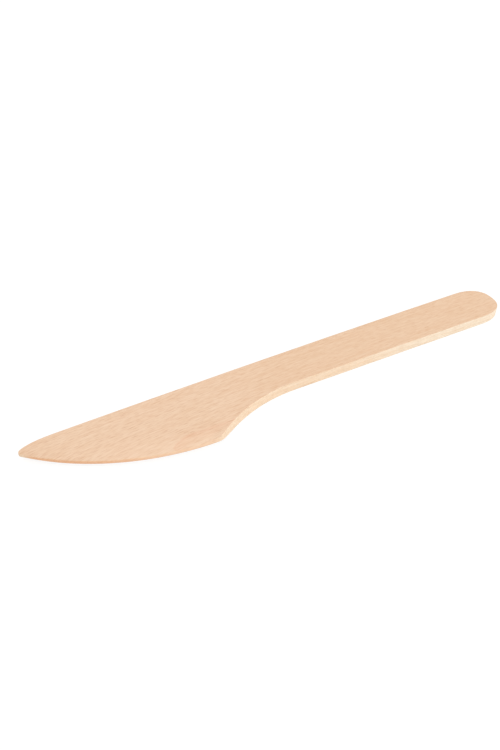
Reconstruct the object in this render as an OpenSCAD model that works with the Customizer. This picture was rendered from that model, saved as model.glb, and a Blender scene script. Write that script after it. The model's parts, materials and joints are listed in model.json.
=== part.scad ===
// One-piece wooden butter knife.
// The whole knife is sawn from one flat beech board and its blade is ground thin along the belly.
// X runs from the tip to the end of the handle, Y towards the back of the knife, Z up.
// The origin is under the middle of the knife's box, on the table.

/* [Board] */
// Thickness of the board that the knife is sawn from
board_t = 4; // [3:0.1:6]

/* [Handle] */
// Length of the handle, from the neck to the rounded end
handle_l = 101.5; // [80:0.5:120]
// Width of the handle at its end, before the end is rounded
handle_w = 18.6; // [14:0.1:24]
// Width of the handle where the neck begins
neck_w = 17; // [13:0.1:22]
// Length over which the end of the handle is rounded
end_l = 12.5; // [6:0.5:18]
// Squareness of the rounded end: 2 is an ellipse, more is squarer
end_squareness = 2.4; // [2:0.1:3.5]

/* [Blade] */
// Length of the hollow neck, from the handle to the heel
neck_l = 35.5; // [28:0.5:46]
// Length of the blade, from the heel to the tip
blade_l = 63; // [50:1:80]
// Depth of the heel below the middle line of the handle
heel_depth = 20.7; // [17:0.1:26]
// Radius of the corner between the neck and the belly
heel_r = 4; // [1:0.5:5]
// Height of the line of the back above the handle's middle line, at the tip
back_h = 6.3; // [5.5:0.1:8]
// Length of the curve in which the back drops to the tip
tip_l = 12.5; // [8:0.5:20]
// Height of the blunt nose above the handle's middle line
nose_h = 4; // [2:0.1:4.6]
// Radius of the blunt nose, seen from above
nose_r = 1; // [0.6:0.1:1.4]

/* [Edge] */
// Width of the ground band along the belly
grind_w = 6; // [3:0.5:8]
// Thickness that the grinding leaves at the belly
edge_t = 1.3; // [0.6:0.1:2.5]

/* [Hidden] */

beech = "#edcaaa";

// How far a cut runs past the faces that it cuts
overrun = 2;
// Straight steps in each curved stretch of the outline
nose_steps = 10;
belly_steps = 40;
heel_steps = 8;
neck_steps = 28;
end_steps = 40;
back_steps = 40;
tip_steps = 12;
// Straight steps in a full turn of the grinding tool's path
turn_steps = 720;
// Places across the ground band, as shares of its width in from the belly
grind_shares = [1, 0.7, 0.4, 0.15];
// Share of the neck that the grinding tool passes over after the heel
run_out_share = 0.5;

knife_l = handle_l + neck_l + blade_l;
tip_x = -knife_l / 2;
heel_x = tip_x + blade_l;
neck_x = heel_x + neck_l;
end_x = knife_l / 2;
round_x = end_x - end_l;

function unit(v) = v / norm(v);
function angle_of(v) = atan2(v.y, v.x);
// The same direction, turned on by whole turns until it follows the direction before it
function angle_after(v, before) = let (a = angle_of(v)) a < before ? a + 360 : a;
// Points of an arc round centre c from angle a to angle b, without the last one
function arc(c, r, a, b, steps) =
    [for (i = [0:steps - 1]) let (t = a + (b - a) * i / steps) c + r * [cos(t), sin(t)]];
// Radius of the arc that leaves p, with outward normal n, and runs on into the circle of radius r round c
function flow_r(p, n, c, r) = let (w = p - c) (w * w - r * r) / (2 * (w * n - r));

// The back of the knife is one slow curve through its heights at the tip, the neck and the end.
function back_y(x) =
    back_h * (x - neck_x) * (x - end_x) / ((tip_x - neck_x) * (tip_x - end_x))
    + neck_w / 2 * (x - tip_x) * (x - end_x) / ((neck_x - tip_x) * (neck_x - end_x))
    + handle_w / 2 * (x - tip_x) * (x - neck_x) / ((end_x - tip_x) * (end_x - neck_x));
function back_slope(x) =
    back_h * (2 * x - neck_x - end_x) / ((tip_x - neck_x) * (tip_x - end_x))
    + neck_w / 2 * (2 * x - tip_x - end_x) / ((neck_x - tip_x) * (neck_x - end_x))
    + handle_w / 2 * (2 * x - tip_x - neck_x) / ((end_x - tip_x) * (end_x - neck_x));
// The front of the handle is straight.
front_slope = (neck_w - handle_w) / 2 / handle_l;
function front_y(x) = -neck_w / 2 + front_slope * (x - neck_x);

// Nose: a small circle at the tip, which the back and the belly both run into.
nose_c = [tip_x + nose_r, nose_h];
tip_p = [tip_x + tip_l, back_y(tip_x + tip_l)];
tip_n = unit([-back_slope(tip_p.x), 1]);
tip_r = flow_r(tip_p, tip_n, nose_c, nose_r);
tip_c = tip_p - tip_r * tip_n;
// Belly: one arc that is level at the heel and rises to the nose.
heel_p = [heel_x, -heel_depth];
belly_r = flow_r(heel_p, [0, -1], nose_c, nose_r);
belly_c = heel_p + [0, belly_r];
// Neck: one hollow arc from the straight front of the handle down to the heel.
neck_p = [neck_x, front_y(neck_x)];
neck_n = unit([front_slope, -1]);
neck_r = -(neck_p - heel_p) * (neck_p - heel_p) / (2 * (neck_p - heel_p) * neck_n);
neck_c = neck_p + neck_r * neck_n;
// Heel: a small round that touches the belly's arc from inside and the neck's from outside.
centres = neck_c - belly_c;
along = ((belly_r - heel_r) ^ 2 - (neck_r + heel_r) ^ 2 + centres * centres) / (2 * norm(centres));
aside = sqrt((belly_r - heel_r) ^ 2 - along ^ 2);
heel_c = belly_c + along * unit(centres) + aside * unit([centres.y, -centres.x]);

// Angles at which one arc of the outline hands over to the next
nose_from = angle_after(nose_c - tip_c, 0);
nose_to = angle_after(nose_c - belly_c, nose_from);
belly_to = angle_after(heel_c - belly_c, nose_to);
heel_to = angle_after(neck_c - heel_c, belly_to);
neck_from = angle_of(heel_c - neck_c);
neck_to = angle_of(neck_p - neck_c);
tip_from = angle_of(tip_n);

// Rounded end, as a superellipse between the front and the back of the handle
end_mid = (back_y(round_x) + front_y(round_x)) / 2;
end_half = (back_y(round_x) - front_y(round_x)) / 2;
function rounded(v) = sign(v) * abs(v) ^ (2 / end_squareness);
function end_point(a) = [round_x + end_l * rounded(cos(a)), end_mid + end_half * rounded(sin(a))];

// The outline, anticlockwise seen from above, from the nose along the belly
outline = concat(
    arc(nose_c, nose_r, nose_from, nose_to, nose_steps),
    arc(belly_c, belly_r, nose_to, belly_to, belly_steps),
    arc(heel_c, heel_r, belly_to, heel_to, heel_steps),
    arc(neck_c, neck_r, neck_from, neck_to, neck_steps),
    [neck_p],
    [for (i = [0:end_steps]) end_point(180 * i / end_steps - 90)],
    [for (i = [1:back_steps]) let (x = round_x + (tip_p.x - round_x) * i / back_steps) [x, back_y(x)]],
    arc(tip_c, tip_r, tip_from, nose_from, tip_steps)
);

// The outline's middle across the knife, which the origin lies under
outline_ys = [for (p = outline) p.y];
middle_y = (min(outline_ys) + max(outline_ys)) / 2;

// Half section of what is ground off above the belly: a rounded slope, steeper towards the edge.
// Its last stretch runs on straight, as far past the belly as it begins inside it.
grind_depth = (board_t - edge_t) / 2;
function depth_at(s) = grind_depth * (1 - s) ^ 2;
last_share = grind_shares[len(grind_shares) - 1];
past_r = belly_r + last_share * grind_w;
past_depth = 2 * depth_at(0) - depth_at(last_share);
grind_section = concat(
    [for (s = grind_shares) [belly_r - s * grind_w, board_t - depth_at(s)]],
    [
        [past_r, board_t - past_depth],
        [past_r, board_t + overrun],
        [belly_r - grind_w, board_t + overrun]
    ]
);

// The board, sawn to the outline
module blank() {
    linear_extrude(board_t)
        polygon(outline);
}

// What the grinding takes off one face, along the belly's own arc
module grind() {
    past_tip = asin(overrun / belly_r);
    past_heel = asin(run_out_share * neck_l / belly_r);
    sweep = past_tip + belly_to - nose_to + past_heel;
    translate(belly_c)
        rotate_extrude(start = nose_to - past_tip, angle = sweep, $fn = turn_steps)
            polygon(grind_section);
}

module knife_body() {
    color(beech)
        translate([0, -middle_y, 0])
            difference() {
                blank();
                grind();
                translate([0, 0, board_t])
                    mirror([0, 0, 1])
                        grind();
            }
}

knife_body();
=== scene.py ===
# %% [markdown]
# # A butter knife sawn from one beech board
# The real knife has no blade of steel and no rivets. One flat strip of beech is sawn to an outline,
# its blade is ground thin along the belly, and every sharp arris is rubbed down with sandpaper.
# The measured solid that is loaded here already has the right outline, thickness and place.
# What is left for Blender is the hand work: soft arrises, a ground edge that fades out, and wood.

# %% Load the measured knife
import json
import math

import bmesh
import bpy
import numpy as np
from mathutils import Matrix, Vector, noise

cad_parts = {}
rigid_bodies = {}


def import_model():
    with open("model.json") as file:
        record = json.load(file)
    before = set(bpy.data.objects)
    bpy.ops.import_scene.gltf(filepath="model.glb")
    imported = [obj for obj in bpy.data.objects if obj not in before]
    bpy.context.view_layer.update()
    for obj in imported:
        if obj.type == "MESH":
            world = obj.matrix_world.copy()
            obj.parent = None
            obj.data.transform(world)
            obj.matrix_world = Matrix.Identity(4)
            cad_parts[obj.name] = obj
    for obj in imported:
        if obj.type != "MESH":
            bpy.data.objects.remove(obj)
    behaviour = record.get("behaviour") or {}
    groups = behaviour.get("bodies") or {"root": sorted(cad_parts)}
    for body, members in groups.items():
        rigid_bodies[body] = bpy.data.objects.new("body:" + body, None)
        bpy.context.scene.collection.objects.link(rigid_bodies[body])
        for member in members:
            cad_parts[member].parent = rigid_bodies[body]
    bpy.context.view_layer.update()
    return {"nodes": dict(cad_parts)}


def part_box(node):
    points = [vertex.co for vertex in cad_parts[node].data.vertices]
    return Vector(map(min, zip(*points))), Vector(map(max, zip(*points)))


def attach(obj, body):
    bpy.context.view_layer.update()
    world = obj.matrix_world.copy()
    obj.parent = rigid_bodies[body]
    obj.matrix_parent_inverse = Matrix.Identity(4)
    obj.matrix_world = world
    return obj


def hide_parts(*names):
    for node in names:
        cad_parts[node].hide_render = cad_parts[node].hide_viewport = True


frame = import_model()
mm = 0.001
low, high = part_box("knife_body")
length, width, thickness = high - low
print(f"measured knife: {length / mm:.1f} x {width / mm:.1f} x {thickness / mm:.1f} mm")

# %% [markdown]
# ## The camera
# A camera can be placed by eye, or worked out from the picture. Here it is worked out: the handle's
# edges are straight and the board is flat, so where they lie in the picture gives the direction, the
# distance and the focal length. Blender wants the focal length in millimetres on its sensor, and the
# sensor width belongs to the longer side of the picture, which is its height here.

# %% Place the camera
photo_height_px = 750
focal_length_px = 707
view_azimuth = math.radians(-27.6)
view_elevation = math.radians(40.8)
view_distance = 268 * mm
looks_at = Vector((-12.2, 12.4, 0)) * mm
nearest_seen = 10 * mm

towards_camera = Vector((
    math.sin(view_azimuth) * math.cos(view_elevation),
    -math.cos(view_azimuth) * math.cos(view_elevation),
    math.sin(view_elevation),
))
lens = bpy.data.cameras.new("photo_camera")
lens.sensor_fit = "AUTO"
lens.lens = lens.sensor_width * focal_length_px / photo_height_px
lens.clip_start = nearest_seen
camera = bpy.data.objects.new("photo_camera", lens)
camera.location = looks_at + towards_camera * view_distance
camera.rotation_euler = towards_camera.to_track_quat("Z", "Y").to_euler()
bpy.context.scene.collection.objects.link(camera)
bpy.context.scene.camera = camera
print(f"camera: {lens.lens:.1f} mm lens, {view_distance / mm:.0f} mm from the knife")

# %% [markdown]
# ## Small helpers for node trees
# Every finish below is a tree of nodes. Written out in full, each node takes five lines, so three
# helpers do the repeating part: one feeds a socket with a value or with another node's output, one
# adds a node with its inputs in order, and one adds a node that calculates.

# %% Helpers for nodes
def feed(tree, socket, source):
    if isinstance(source, bpy.types.NodeSocket):
        tree.links.new(source, socket)
    else:
        socket.default_value = source


def add(tree, kind, *sources, **settings):
    node = tree.nodes.new("ShaderNode" + kind)
    for name, value in settings.items():
        setattr(node, name, value)
    for socket, source in zip(node.inputs, sources):
        if source is not None:
            feed(tree, socket, source)
    return node


def calc(tree, operation, *sources):
    return add(tree, "Math", *sources, operation=operation).outputs[0]


print("node helpers: feed, add and calc")

# %% [markdown]
# ## A white table and soft light
# The knife lies on white paper in a bright room, so the paper shows as pure white and the shadow is
# faint. Turning the lamps up until the paper burns out would bleach the wood too. Instead the paper
# and the room have two looks: what the camera sees is lifted to white by a little glow of its own,
# while the light that reaches the wood comes from plain white paper and a dimmer room. The Light Path
# node tells the two apart. Whatever shines or is clear has to show the white too, so light that comes
# off gloss or through glass counts as seen by the camera.

# %% Lay the paper
def seen_directly(tree):
    path = tree.nodes.new("ShaderNodeLightPath")
    straight = calc(tree, "MAXIMUM", path.outputs["Is Camera Ray"], path.outputs["Is Glossy Ray"])
    return calc(tree, "MAXIMUM", straight, path.outputs["Is Transmission Ray"])


def paper_finish(whiteness=0.82, glow=0.86, shadow_share=0.25):
    finish = bpy.data.materials.new("white_paper")
    finish.use_nodes = True
    tree = finish.node_tree
    tree.nodes.clear()
    matt = add(tree, "BsdfDiffuse", (whiteness, whiteness, whiteness, 1)).outputs[0]
    light = add(tree, "Emission", (1, 1, 1, 1), glow).outputs[0]
    faded = add(tree, "BsdfDiffuse", (whiteness * shadow_share,) * 3 + (1,)).outputs[0]
    lifted = add(tree, "AddShader", faded, light).outputs[0]
    shown = add(tree, "MixShader", seen_directly(tree), matt, lifted).outputs[0]
    add(tree, "OutputMaterial", shown)
    return finish


paper_size = 8.0
paper_gap = 0.02 * mm
bpy.ops.mesh.primitive_plane_add(size=paper_size, location=(0, 0, low.z - paper_gap))
paper = bpy.context.object
paper.name = "paper"
paper.data.materials.append(paper_finish())
print(f"paper: {paper_size:.0f} m wide, {paper_gap / mm} mm under the knife")

# %% [markdown]
# The room is Blender's world, a white wall all round and far away. It gives the even part of the light.
# A dome of lamps could do the same, but the world is simpler and reaches every side alike.

# %% Light the room
room_light = 0.64
room = bpy.data.worlds.new("bright_room")
room.use_nodes = True
tree = room.node_tree
tree.nodes.clear()
dim = add(tree, "Background", (1, 1, 1, 1), room_light).outputs[0]
white = add(tree, "Background", (1, 1, 1, 1), 1.0).outputs[0]
add(tree, "OutputWorld", add(tree, "MixShader", seen_directly(tree), dim, white).outputs[0])
bpy.context.scene.world = room
bpy.context.scene.view_settings.view_transform = "Standard"
print(f"room: white to the camera, {room_light} of that to the wood")

# %% [markdown]
# The side of the handle is brighter than its top, and the front edge of the blade is a little darker.
# So the main lamp stands low, in front and to the right, a weaker one fills in from the left, and a
# third from behind keeps the far arris from going dark. All are big soft panels, because small lamps
# would draw hard shadows that the picture doesn't have. Their power follows from their distance: a
# panel of `share * pi^2 * distance^2` watts adds that share of full brightness to a facing surface.

# %% Hang the lamps
panel_distance = 1.6
panel_size = 1.2


def soft_panel(name, direction, share):
    lamp = bpy.data.lights.new(name, "AREA")
    lamp.shape = "DISK"
    lamp.size = panel_size
    lamp.energy = share * math.pi ** 2 * panel_distance ** 2
    panel = bpy.data.objects.new(name, lamp)
    away = Vector(direction).normalized()
    panel.location = away * panel_distance
    panel.rotation_euler = away.to_track_quat("Z", "Y").to_euler()
    bpy.context.scene.collection.objects.link(panel)
    print(f"{name}: {lamp.energy:.1f} W from {tuple(round(c, 2) for c in away)}")


soft_panel("right_panel", direction=(0.6, -0.7, 0.42), share=0.46)
soft_panel("left_panel", direction=(-0.75, -0.55, 0.35), share=0.12)
soft_panel("back_panel", direction=(-0.3, 0.8, 0.75), share=0.27)

# %% [markdown]
# ## The sawn outline
# The finished body follows the measured one, so its outline is read from it and not drawn again.
# Cutting the loaded mesh with a level plane at half its height leaves one closed line. The cut gives
# its points in no order, so they are walked from neighbour to neighbour, starting at the nose.

# %% Read the outline
weld_gap = 0.001 * mm


def level_cut(mesh, height):
    board = bmesh.new()
    board.from_mesh(mesh)
    bmesh.ops.remove_doubles(board, verts=board.verts, dist=weld_gap)
    everything = board.verts[:] + board.edges[:] + board.faces[:]
    bmesh.ops.bisect_plane(
        board, geom=everything, plane_co=(0, 0, height), plane_no=(0, 0, 1),
        clear_inner=True, clear_outer=True,
    )
    board.verts.index_update()
    places = np.array([v.co.xy for v in board.verts])
    joined = [[e.other_vert(v).index for e in v.link_edges] for v in board.verts]
    board.free()
    nose = int(np.argmin(places[:, 0]))
    ring = [nose, min(joined[nose], key=lambda i: places[i, 1])]
    while ring[-1] != nose:
        ring.append(next(i for i in joined[ring[-1]] if i != ring[-2]))
    return places[ring[:-1]]


middle = (low.z + high.z) / 2
cut = level_cut(frame["nodes"]["knife_body"].data, middle)
print(f"outline: {len(cut)} points, cut at a height of {middle / mm:.1f} mm")

# %% [markdown]
# The line is then split at the nose and at the end of the handle into a front half and a back half.
# Each gets the same number of evenly spread points, so the two can be joined across the knife later.

# %% Spread its points evenly
half_steps = 520


def spread_evenly(points, steps):
    pace = np.linalg.norm(np.diff(points, axis=0), axis=1)
    along = np.concatenate([[0], np.cumsum(pace)])
    wanted = np.linspace(0, along[-1], steps + 1)
    return np.column_stack([np.interp(wanted, along, points[:, k]) for k in (0, 1)])


handle_end = int(np.argmax(cut[:, 0]))
front = spread_evenly(cut[: handle_end + 1], half_steps)
back = spread_evenly(np.vstack([cut[handle_end:], cut[:1]]), half_steps)
outline = np.vstack([front[:-1], back[:-1]])
print(f"outline: {len(outline)} points, {half_steps} along the front and as many along the back")

# %% [markdown]
# The measured outline is made of short straight steps. Sandpaper would take their corners off, and
# so do a few rounds of moving each point towards the middle of its neighbours. That alone would
# shrink the knife, so every round is followed by one that pushes back a little harder. What then
# stands out past the measured length and width is trimmed to them.

# %% Sand the outline smooth
def sand(ring, rounds=12, inwards=0.5, outwards=-0.53):
    for _ in range(rounds):
        for share in (inwards, outwards):
            between = (np.roll(ring, 1, axis=0) + np.roll(ring, -1, axis=0)) / 2
            ring = ring + share * (between - ring)
    return ring


def inward_normals(ring, reach=2):
    along = np.roll(ring, -reach, axis=0) - np.roll(ring, reach, axis=0)
    inwards = np.column_stack([-along[:, 1], along[:, 0]])
    return inwards / np.linalg.norm(inwards, axis=1)[:, None]


sanded = np.clip(sand(outline), cut.min(axis=0), cut.max(axis=0))
normals = inward_normals(sanded)
moved = np.linalg.norm(sanded - outline, axis=1).max()
outline = sanded
print(f"sanding moved the outline by {moved / mm:.3f} mm at most")

# %% [markdown]
# ## The ground edge
# The belly of the blade is one long arc, and a belt grinder has taken wood off both faces along it.
# How deep it went depends on the distance from the edge. That distance could be measured to every
# point of the outline, but three points on the belly give the arc's centre, and from there the
# distance is a simple formula.

# %% Find the belly's arc
belly_shares = (1 / 8, 1 / 2, 7 / 8)


def circle_through(a, b, c):
    (ax, ay), (bx, by), (cx, cy) = a, b, c
    turn = 2 * (ax * (by - cy) + bx * (cy - ay) + cx * (ay - by))
    sa, sb, sc = ax ** 2 + ay ** 2, bx ** 2 + by ** 2, cx ** 2 + cy ** 2
    x = (sa * (by - cy) + sb * (cy - ay) + sc * (ay - by)) / turn
    y = (sa * (cx - bx) + sb * (ax - cx) + sc * (bx - ax)) / turn
    return np.array([x, y]), math.hypot(ax - x, ay - y)


lowest = int(np.argmin(outline[:half_steps, 1]))
heel_x = outline[lowest, 0]
belly_centre, belly_radius = circle_through(*[outline[int(lowest * share)] for share in belly_shares])
print(f"belly: radius {belly_radius / mm:.1f} mm, heel at x = {heel_x / mm:.1f} mm")

# %% [markdown]
# The grinding is deepest at the edge and runs out into the flat face in a hollow curve. It is widest
# in the middle of the belly and narrower towards the heel and the nose. On the upper face the belt is
# lifted off at the heel, so more wood is left there. The lower face is ground a little deeper, most of
# all at the nose, so the thin edge stands clear of the table.

# %% Describe the grinding
upper_depth = 1.2 * mm
lower_depth = 1.5 * mm
belly_band = 8.5 * mm
heel_band = 4.7 * mm
nose_band = 5.0 * mm
heel_length = 30 * mm
nose_length = 13 * mm
nose_extra = 0.2
lift_length = 2.4 * mm
run_out = 7 * mm


def smooth(value, start, end):
    share = np.clip((value - start) / (end - start), 0, 1)
    return share * share * (3 - 2 * share)


def near_nose(x):
    """1 at the nose, 0 from some way back along the blade."""
    return smooth(x, low.x + nose_length, low.x)


def ground_share(x, y):
    """How deep the grinding is at a place, as a share of its deepest."""
    inside = belly_radius - np.hypot(x - belly_centre[0], y - belly_centre[1])
    near_heel = smooth(x, heel_x - heel_length, heel_x)
    band = belly_band + (heel_band - belly_band) * near_heel + (nose_band - belly_band) * near_nose(x)
    share = np.clip(1 - inside / band, 0, 1) ** 2
    return np.where(x < heel_x + run_out, share, 0)


def still_on(x):
    """1 where the belt still presses on the upper face, 0 where it has been lifted off."""
    return smooth(x, heel_x + lift_length, heel_x - lift_length)


def ground_off(x, y, side):
    """Depth of the grinding on the upper face (side +1) or on the lower face (side -1)."""
    if side > 0:
        return upper_depth * ground_share(x, y) * still_on(x)
    return lower_depth * (1 + nose_extra * near_nose(x)) * ground_share(x, y)


print(f"grinding: leaves {(thickness - upper_depth - lower_depth) / mm:.1f} mm along the belly")

# %% [markdown]
# ## The body
# The mesh is made in two kinds of strips, the way the knife itself has two kinds of surfaces. A band
# of quads runs round the rim: a flat wall with a quarter round above and below it, which is the eased
# arris. A bevel modifier could round a plain block too, but its radius only changes where edges are
# given weights, and nobody sands an arris to an even radius. Here a slow noise varies it along the rim.

# %% Shape the rim
arris_radius = 0.22 * mm
arris_change = 0.3
arris_wave = 14 * mm
arris_steps = 5


def eased_radius(x, y):
    wave = noise.noise(Vector((x, y, 0)) / arris_wave)
    return arris_radius * (1 + arris_change * wave)


def half_thickness(x, y, side):
    return thickness / 2 - ground_off(x, y, side)


radii = np.array([eased_radius(x, y) for x, y in outline])
turns = np.linspace(math.pi / 2, 0, arris_steps + 1)


def rim_row(turn, side):
    """Places and heights of one row round the rim, and how far the row belongs to the sawn wall."""
    place = outline + normals * (radii * (1 - math.cos(turn)))[:, None]
    height = half_thickness(place[:, 0], place[:, 1], side) - radii * (1 - math.sin(turn))
    return place, middle + side * height, math.cos(turn)


print(f"rim: {2 * len(turns)} rows of {len(outline)} points")
print(f"arris: {radii.min() / mm:.2f} to {radii.max() / mm:.2f} mm")

# %% [markdown]
# Each point also remembers which cut it came from: how much it belongs to the sawn rim, and how much
# was ground off there. The beech finish reads these two shares later. Keeping them on the mesh means
# that the finish follows the real surfaces, and doesn't have to guess them from the way they face.

# %% Build the rim
count = len(outline)
points, sawn, ground = [], [], []


def put(x, y, z, sawn_share):
    points.append((x, y, z))
    sawn.append(sawn_share)
    ground.append(float(ground_share(x, y) * still_on(x)))
    return len(points) - 1


def rim_ring(turn, side):
    place, height, share = rim_row(turn, side)
    return [put(x, y, z, share) for (x, y), z in zip(place, height)]


rings = [rim_ring(turn, +1) for turn in turns] + [rim_ring(turn, -1) for turn in reversed(turns)]
faces = []
for upper, lower in zip(rings, rings[1:]):
    faces += [(upper[i], lower[i], lower[(i + 1) % count], upper[(i + 1) % count]) for i in range(count)]
print(f"rim: {len(points)} points, {len(faces)} faces")

# %% [markdown]
# The innermost rows of the rim are the borders of the top and bottom faces. Across each face, ribs run
# from the front edge to the back edge. One big flat face would be lighter, but it couldn't follow the
# hollow of the grinding. The ribs' points lie closer together towards the front, where the wood is ground.

# %% Cover the faces
rib_steps = 30
rib_crowding = 1.5


def face_ribs(border, side):
    """Ribs of points across one face, from the front half of its border to the back half."""
    ribs = []
    for i in range(1, half_steps):
        near, far = border[i], border[count - i]
        rib = [near]
        for j in range(1, rib_steps):
            share = (j / rib_steps) ** rib_crowding
            x = points[near][0] + share * (points[far][0] - points[near][0])
            y = points[near][1] + share * (points[far][1] - points[near][1])
            rib.append(put(x, y, middle + side * float(half_thickness(x, y, side)), 0.0))
        ribs.append(rib + [far])
    return ribs


def skin(border, ribs):
    """Faces over the ribs, with a fan of triangles at the nose and at the end of the handle."""
    covered = []
    for rib, after in zip(ribs, ribs[1:]):
        covered += [(rib[j], after[j], after[j + 1], rib[j + 1]) for j in range(rib_steps)]
    nose, end = border[0], border[half_steps]
    covered += [(nose, ribs[0][j], ribs[0][j + 1]) for j in range(rib_steps)]
    covered += [(end, ribs[-1][j + 1], ribs[-1][j]) for j in range(rib_steps)]
    return covered


faces += skin(rings[0], face_ribs(rings[0], +1))
faces += [face[::-1] for face in skin(rings[-1], face_ribs(rings[-1], -1))]
print(f"body: {len(points)} points, {len(faces)} faces")

# %% [markdown]
# The lists become a mesh in one call. Smooth shading lets the short steps of the rim read as a curve.
# A body that will be handed on should be closed, so its edges are counted before it gets a finish: an
# edge is open if it doesn't join two faces. The volume shows whether the faces point outwards.

# %% Turn it into an object
mesh = bpy.data.meshes.new("beech_knife")
mesh.from_pydata(points, [], faces)
mesh.shade_smooth()
for name, shares in (("sawn", sawn), ("ground", ground)):
    mesh.attributes.new(name, "FLOAT", "POINT").data.foreach_set("value", shares)
mesh.update()
knife = bpy.data.objects.new("beech_knife", mesh)
bpy.context.scene.collection.objects.link(knife)

check = bmesh.new()
check.from_mesh(mesh)
open_edges = sum(not edge.is_manifold for edge in check.edges)
volume = check.calc_volume(signed=True)
check.free()
print(f"open edges {open_edges}, volume {volume / mm ** 3:.0f} cubic mm")

# %% [markdown]
# ## The beech
# Bare beech is a pale pinkish tan. Three things are seen on it: dark ray flecks a few millimetres long,
# which all lie along the grain, fine fibre lines between them, and the slow bands of the growth rings.
# A flat picture of wood would smear over the edges. Wood is the same all the way through, so the finish
# is a solid one: every pattern is worked out from the place in the board, in millimetres, and the rim
# and the faces simply show different cuts through it.

# %% Measure in the board
finish = bpy.data.materials.new("sanded_beech")
finish.use_nodes = True
wood = finish.node_tree
wood.nodes.clear()


def in_board(source, scale, turn=0.0, shift=0.0):
    node = wood.nodes.new("ShaderNodeMapping")
    node.inputs["Scale"].default_value = scale
    node.inputs["Rotation"].default_value = (0, 0, turn)
    node.inputs["Location"].default_value = (shift, shift, shift)
    feed(wood, node.inputs["Vector"], source)
    return node.outputs[0]


def stretched(source, along, across, deep, shift=0.0):
    """The place in the board, in steps of so many millimetres along the grain, across it and deep."""
    return in_board(source, (1 / along, 1 / across, 1 / deep), shift=shift)


def cloud(source, detail=2.0, rough=0.5):
    """A noise from 0 to 1. The stretch of its source sets how long and wide its clouds are."""
    node = wood.nodes.new("ShaderNodeTexNoise")
    feed(wood, node.inputs["Vector"], source)
    node.inputs["Scale"].default_value = 1.0
    node.inputs["Detail"].default_value = detail
    node.inputs["Roughness"].default_value = rough
    return node.outputs[0]


def square(value):
    return calc(wood, "MULTIPLY", value, value)


spot = in_board(wood.nodes.new("ShaderNodeTexCoord").outputs["Object"], (1 / mm,) * 3)
board_x, board_y, board_z = add(wood, "SeparateXYZ", spot).outputs
print("board: measured in millimetres from the middle of the knife's underside")

# %% [markdown]
# The saw never follows the grain exactly. Here the grain runs a little askew, bends in one slow arc over
# the whole knife and sways from side to side. The rays and the fibres are drawn along it, so it is
# worked out once: the place is turned, and then pushed sideways by the bend and by a very slow noise.

# %% Let the grain wander
grain_angle = math.radians(2.0)
grain_bend = 2050.0
sway_width = 1.5
noise_middle = 0.5

along_grain = in_board(spot, (1, 1, 1), turn=-grain_angle)
distance_along = add(wood, "SeparateXYZ", along_grain).outputs[0]
bend = calc(wood, "DIVIDE", square(distance_along), 2 * grain_bend)
sway = cloud(stretched(along_grain, along=60, across=20, deep=20), detail=1.0)
sideways = calc(wood, "MULTIPLY_ADD", calc(wood, "SUBTRACT", sway, noise_middle), sway_width, bend)
lean = add(wood, "CombineXYZ", 0.0, sideways, 0.0).outputs[0]
grain = add(wood, "VectorMath", along_grain, lean, operation="ADD").outputs[0]
print(f"grain: {math.degrees(grain_angle):.1f} degrees askew, bent to {grain_bend:.0f} mm")
print(f"grain: sways over {sway_width} mm")

# %% [markdown]
# Rays are thin upright ribbons of soft cells. Cut by the broad faces they are short dark spindles. A
# Voronoi pattern scatters one point into each cell of a stretched grid, and the distance from that
# point, measured along and across the grain, gives a spindle with pointed ends. Its rows are staggered,
# because in a square grid the spindles would stand in columns. Depth is left out, so each ray runs
# straight down through the board, as real ones do.

# %% Draw the ray flecks
row_stagger = 0.38
faintest_ray = 0.35
spindle_end = 1.1
broad_half = (2.1, 0.23)
thin_half = (1.4, 0.15)


def ramp(tree, value, start, end):
    """0 up to the start, 1 from the end on, and a smooth step between them."""
    return add(tree, "MapRange", value, start, end, interpolation_type="SMOOTHSTEP").outputs[0]


def rays(spacing, half_size, smallest, shift):
    """Spindles in staggered cells. Sizes are along and across the grain, in millimetres."""
    place = add(wood, "SeparateXYZ", stretched(grain, *spacing, deep=1, shift=shift)).outputs
    row_start = calc(wood, "MULTIPLY_ADD", place[1], row_stagger, place[0])
    cells = add(wood, "CombineXYZ", row_start, place[1], 0.0).outputs[0]
    scatter = add(wood, "TexVoronoi", cells, voronoi_dimensions="2D")
    scatter.inputs["Scale"].default_value = 1.0
    away = add(wood, "VectorMath", cells, scatter.outputs["Position"], operation="SUBTRACT").outputs[0]
    away = add(wood, "SeparateXYZ", away).outputs
    chance = add(wood, "SeparateColor", scatter.outputs["Color"]).outputs
    size = add(wood, "MapRange", chance[0], 0.0, 1.0, smallest, 1.0).outputs[0]
    straight = calc(wood, "MULTIPLY_ADD", away[1], -row_stagger, away[0])
    along = calc(wood, "DIVIDE", calc(wood, "MULTIPLY", straight, spacing[0] / half_size[0]), size)
    across = calc(wood, "MULTIPLY", calc(wood, "ABSOLUTE", away[1]), spacing[1] / half_size[1])
    spindle = calc(wood, "ADD", square(along), calc(wood, "DIVIDE", across, size))
    strength = add(wood, "MapRange", chance[1], 0.0, 1.0, faintest_ray, 1.0).outputs[0]
    return calc(wood, "MULTIPLY", ramp(wood, spindle, spindle_end, 0.0), strength)


broad_rays = rays(spacing=(4.0, 0.9), half_size=broad_half, smallest=0.6, shift=4.4)
thin_rays = rays(spacing=(2.8, 0.5), half_size=thin_half, smallest=0.5, shift=11.3)
print(f"rays: up to {2 * broad_half[0]} mm long, and thin ones up to {2 * thin_half[0]} mm")

# %% [markdown]
# Between the rays run the fibres, far longer than they are wide, so a noise that is stretched along the
# grain draws them. One noise would look combed. So there are four, from hair-fine fibres over short wavy
# lines and longer streaks to slow patches. They are shifted, so that no two lie on each other.

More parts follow.
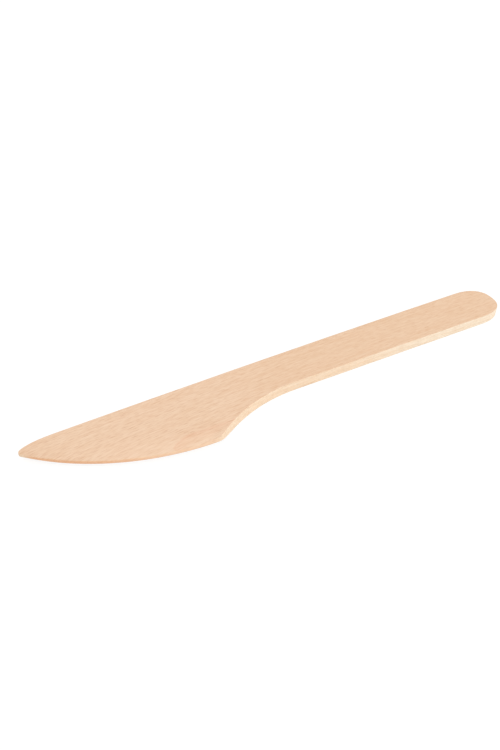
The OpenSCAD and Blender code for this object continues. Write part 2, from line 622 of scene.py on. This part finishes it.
# %% Draw the fibres
fibres = cloud(stretched(grain, along=16, across=0.24, deep=0.24), detail=3.0, rough=0.6)
lines = cloud(stretched(grain, along=4, across=0.5, deep=0.5, shift=13.0), detail=1.0)
streaks = cloud(stretched(grain, along=18, across=0.8, deep=0.8, shift=7.0), detail=2.0, rough=0.55)
patches = cloud(stretched(grain, along=30, across=8, deep=8, shift=5.0), detail=2.0)
print("fibres: four noises, all stretched along the grain")

# %% [markdown]
# The growth rings are shells round the middle of the tree. This board was cut across their crown, so
# they lie almost flat in it and bend down a little to both sides. Beside the heel they dip along the
# belly, as they do near a small knot, and there the grinding cuts through a ring: a thin dark line where
# one year ended, and pinker wood where the next year began. The year is just a height. Each bend is
# added to the height in the board, and the fraction that is left over tells the season.

# %% Bend the growth rings
ring_spacing = 2.6
ring_radius = 190.0
ring_crown = 8.0
ring_above = 0.9
ripple_height = 0.15
dip_depth = 1.3
dip_x = -45.3
dip_length = 10.5
dip_width = 2.5


def from_belly():
    """Distance from the arc of the belly, seen from above."""
    arm = add(wood, "VectorMath", spot, (*belly_centre / mm, 0), operation="SUBTRACT").outputs[0]
    arm = add(wood, "VectorMath", arm, (1, 1, 0), operation="MULTIPLY").outputs[0]
    reach = add(wood, "VectorMath", arm, operation="LENGTH").outputs["Value"]
    return calc(wood, "SUBTRACT", belly_radius / mm, reach)


bow = calc(wood, "DIVIDE", square(calc(wood, "SUBTRACT", board_y, ring_crown)), 2 * ring_radius)
inside = calc(wood, "DIVIDE", from_belly(), dip_width)
beside = calc(wood, "DIVIDE", calc(wood, "SUBTRACT", board_x, dip_x), dip_length)
far = calc(wood, "ADD", square(inside), square(beside))
dip = calc(wood, "EXPONENT", calc(wood, "MULTIPLY", far, -1.0))
ripple = calc(wood, "MULTIPLY", calc(wood, "SUBTRACT", streaks, noise_middle), ripple_height)
level = calc(wood, "ADD", calc(wood, "ADD", board_z, bow), calc(wood, "MULTIPLY", dip, dip_depth))
past_ring = calc(wood, "SUBTRACT", calc(wood, "ADD", level, ripple), thickness / mm + ring_above)
year = calc(wood, "FRACT", calc(wood, "DIVIDE", past_ring, ring_spacing))
year_end = ramp(wood, year, start=0.95, end=0.985)
year_start = calc(wood, "SUBTRACT", 1.0, ramp(wood, year, start=0.02, end=0.25))
print(f"rings: {ring_spacing} mm apart, bent to a radius of {ring_radius:.0f} mm")

# %% [markdown]
# The knife isn't one colour all over. The broad faces are tan, a little darker at the handle and the
# tip. The sawn rim is a paler cream, palest at the end of the handle: partly the sawn wood's own paler
# colour, partly painted light on the sides that face the main lamp. The thin edge of the belly is
# browner than the rim, most of all towards the nose: partly wood rubbed hard when it was ground, partly
# painted shade where the edge turns away from the main lamp. At the very nose it is painted pale again:
# painted light on the nose's wall, which the lamps leave in shade. These colours could be drawn into a
# picture, but the picture would have to be kept. Blending them along the knife needs only places.

# %% Choose the ground colours
blade_tan = (0.90, 0.664, 0.482, 1)
handle_tan = (0.884, 0.643, 0.454, 1)
tip_tan = (0.872, 0.632, 0.452, 1)
# The creams are partly the sawn wood's paler colour and partly painted light on the sides that face the
# main lamp.
neck_cream_and_light = (0.925, 0.75, 0.565, 1)
end_cream_and_light = (0.925, 0.80, 0.64, 1)
# The edge brown is partly the rubbed edge's own colour and partly painted shade on the belly edge, which
# faces away from the main lamp.
edge_brown_and_shade = (0.90, 0.545, 0.33, 1)

neck_span = (-35, 5)
handle_span = (0, 80)
tip_span = (-98, -80)
belly_span = (-85, -40)
nose_span = (-99, -96)
brown_and_shade_at_heel = 0.4
# At the nose most of the brown is left off: painted light on the nose's wall, which the lamps leave in
# shade.
brown_at_nose_painted_lighter = 0.1


def blend(tree, share, first, second, how="MIX"):
    node = tree.nodes.new("ShaderNodeMix")
    node.data_type = "RGBA"
    node.blend_type = how
    feed(tree, node.inputs["Factor"], share)
    for name, colour in (("A", first), ("B", second)):
        feed(tree, next(s for s in node.inputs if s.name == name and s.type == "RGBA"), colour)
    return next(s for s in node.outputs if s.type == "RGBA")


def along_knife(span, first_value, last_value):
    """A value that changes smoothly over a span of the knife's length, in millimetres."""
    return add(
        wood, "MapRange", board_x, *span, first_value, last_value, interpolation_type="SMOOTHSTEP",
    ).outputs[0]


on_rim = add(wood, "Attribute", attribute_name="sawn").outputs["Fac"]
on_edge = add(wood, "Attribute", attribute_name="ground").outputs["Fac"]
face_colour = blend(wood, along_knife(neck_span, 0.0, 1.0), blade_tan, handle_tan)
face_colour = blend(wood, along_knife(tip_span, 1.0, 0.0), face_colour, tip_tan)
# Partly painted light: the rim is paler where its sides face the main lamp.
rim_cream_and_light = blend(wood, along_knife(handle_span, 0.0, 1.0), neck_cream_and_light, end_cream_and_light)
# The belly edge turns browner towards the nose: partly its own rubbed colour, partly painted shade.
edge_brown_and_shade_share = calc(wood, "MULTIPLY", on_edge, along_knife(belly_span, 1.0, brown_and_shade_at_heel))
# At the very nose the edge is painted pale again: painted light on the nose's shaded wall.
edge_brown_and_shade_share = calc(wood, "MULTIPLY", edge_brown_and_shade_share, along_knife(nose_span, brown_at_nose_painted_lighter, 1.0))
colour = blend(wood, on_rim, face_colour, blend(wood, edge_brown_and_shade_share, rim_cream_and_light, edge_brown_and_shade))
print("ground colours: tan faces, cream rim, brown edge")

# %% [markdown]
# The wood's patterns are laid over that as a painter lays glazes: first the pink and the dark line of
# the rings, then the slow patches, the streaks, the lines, the fibres and last the rays. A glaze
# multiplies the colour under it, so it only darkens, and no pattern hides another. Rays are fainter on
# the rim and on the ground band, which don't cut squarely across them.

# %% Lay the patterns over them
ring_pink = (1.0, 0.915, 0.89, 1)
ring_red = (0.965, 0.85, 0.80, 1)
fibre_brown = (0.92, 0.845, 0.77, 1)
ray_brown = (0.70, 0.49, 0.34, 1)

ray_span = (-30, 0)
band_span = (-80, -62)
streak_span = (-60, -25)
rays_on_handle = 0.75
streaks_on_blade = 0.4
streaks_on_handle = 0.5
rim_fading = 0.75
band_fading = 0.6

off_rim = calc(wood, "SUBTRACT", 1.0, calc(wood, "MULTIPLY", on_rim, rim_fading))
slanted = calc(wood, "MULTIPLY", calc(wood, "SQRT", on_edge), along_knife(band_span, 0.0, band_fading))
cut_across = calc(wood, "SUBTRACT", 1.0, slanted)
ray_share = calc(wood, "MULTIPLY", off_rim, along_knife(ray_span, 1.0, rays_on_handle))
ray_share = calc(wood, "MULTIPLY", ray_share, cut_across)
young_wood = calc(wood, "MULTIPLY", year_start, ramp(wood, streaks, start=0.3, end=0.6))
ring_line = calc(wood, "MULTIPLY", year_end, off_rim)
short_lines = calc(wood, "MULTIPLY", ramp(wood, lines, start=0.35, end=0.7), cut_across)
streak_strength = along_knife(streak_span, streaks_on_blade, streaks_on_handle)

# Each glaze has its colour, the pattern that it follows and its strength.
glazes = [
    (ring_pink, young_wood, 0.45),
    (ring_red, ring_line, 0.6),
    (ring_pink, ramp(wood, patches, start=0.3, end=0.7), 0.15),
    (fibre_brown, ramp(wood, streaks, start=0.35, end=0.7), streak_strength),
    (fibre_brown, short_lines, 0.5),
    (fibre_brown, ramp(wood, fibres, start=0.4, end=0.75), 0.4),
    (ray_brown, calc(wood, "MULTIPLY", thin_rays, ray_share), 0.36),
    (ray_brown, calc(wood, "MULTIPLY", broad_rays, ray_share), 0.48),
]
for glaze, pattern, strength in glazes:
    share = calc(wood, "MULTIPLY", pattern, strength)
    colour = blend(wood, share, colour, glaze, "MULTIPLY")
print(f"patterns: {len(glazes)} glazes over the ground colours")

# %% [markdown]
# Sanded bare wood is almost matt, and roughest along the fibres that the sandpaper has raised. They
# stand up by some hundredths of a millimetre, and the soft rays lie lower. That is far too little to
# show in the outline, so a bump node does it, and the mesh can stay as light as it is.

# %% Finish the surface
relief_strength = 0.12
relief_depth = 0.05 * mm
ray_sink = 0.5
gloss = 0.3
smoothest = 0.6
roughest = 0.78

rise = calc(wood, "SUBTRACT", fibres, calc(wood, "MULTIPLY", broad_rays, ray_sink))
bump = wood.nodes.new("ShaderNodeBump")
bump.inputs["Strength"].default_value = relief_strength
bump.inputs["Distance"].default_value = relief_depth
feed(wood, bump.inputs["Height"], rise)
sanded_wood = wood.nodes.new("ShaderNodeBsdfPrincipled")
sanded_wood.inputs["Specular IOR Level"].default_value = gloss
feed(wood, sanded_wood.inputs["Base Color"], colour)
roughness = add(wood, "MapRange", fibres, 0.0, 1.0, smoothest, roughest).outputs[0]
feed(wood, sanded_wood.inputs["Roughness"], roughness)
feed(wood, sanded_wood.inputs["Normal"], bump.outputs[0])
add(wood, "OutputMaterial", sanded_wood.outputs[0])
mesh.materials.append(finish)
print(f"beech finish: {len(wood.nodes)} nodes")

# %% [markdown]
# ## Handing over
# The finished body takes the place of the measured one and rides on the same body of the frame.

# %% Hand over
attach(knife, "root")
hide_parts("knife_body")
